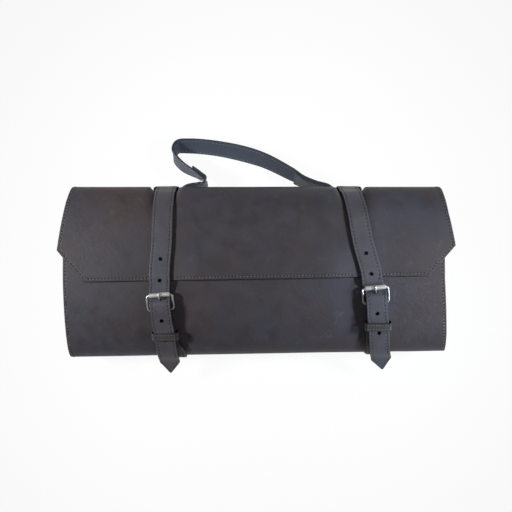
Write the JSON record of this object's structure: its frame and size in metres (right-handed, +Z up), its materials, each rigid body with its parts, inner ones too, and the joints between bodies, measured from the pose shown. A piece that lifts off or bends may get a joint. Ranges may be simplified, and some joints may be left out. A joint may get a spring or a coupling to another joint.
{
  "type": "leather knife roll",
  "caption": "Closed leather knife roll lying on its back, with a chamfered stitched flap, buckled belts, keepers and a flopped carrying handle.",
  "frame": {"origin": "middle of the whole part's box in plan, on the surface that it lies on", "axes": "+X along the roll, from its left end to its right; +Y from the bottom fold to the top fold and the handle; +Z up, out of the flap's front"},
  "size_m": [0.478, 0.2968, 0.0809],
  "materials": {
    "wrap_leather": "oiled dark grey-brown leather with cloudy lighter patches and soft scuffs",
    "belt_leather": "the same oiled leather, stitched along both edges",
    "keeper_leather": "the same leather, darker and stitched",
    "handle_leather": "cooler blue-grey leather, stitched along its edges",
    "buckle_nickel": "bright nickel plate, lightly worn",
    "roller_nickel": "bright nickel tube, lightly worn"
  },
  "bodies": {
    "root": {"wrap": "wrap_leather", "belt_left": "belt_leather", "belt_right": "belt_leather", "keeper_left": "keeper_leather", "keeper_right": "keeper_leather", "buckle_frame_left": "buckle_nickel", "buckle_frame_right": "buckle_nickel", "buckle_roller_left": "roller_nickel", "buckle_roller_right": "roller_nickel", "buckle_prong_left": "buckle_nickel", "buckle_prong_right": "buckle_nickel", "handle": "handle_leather"}
  },
  "joints": []
}
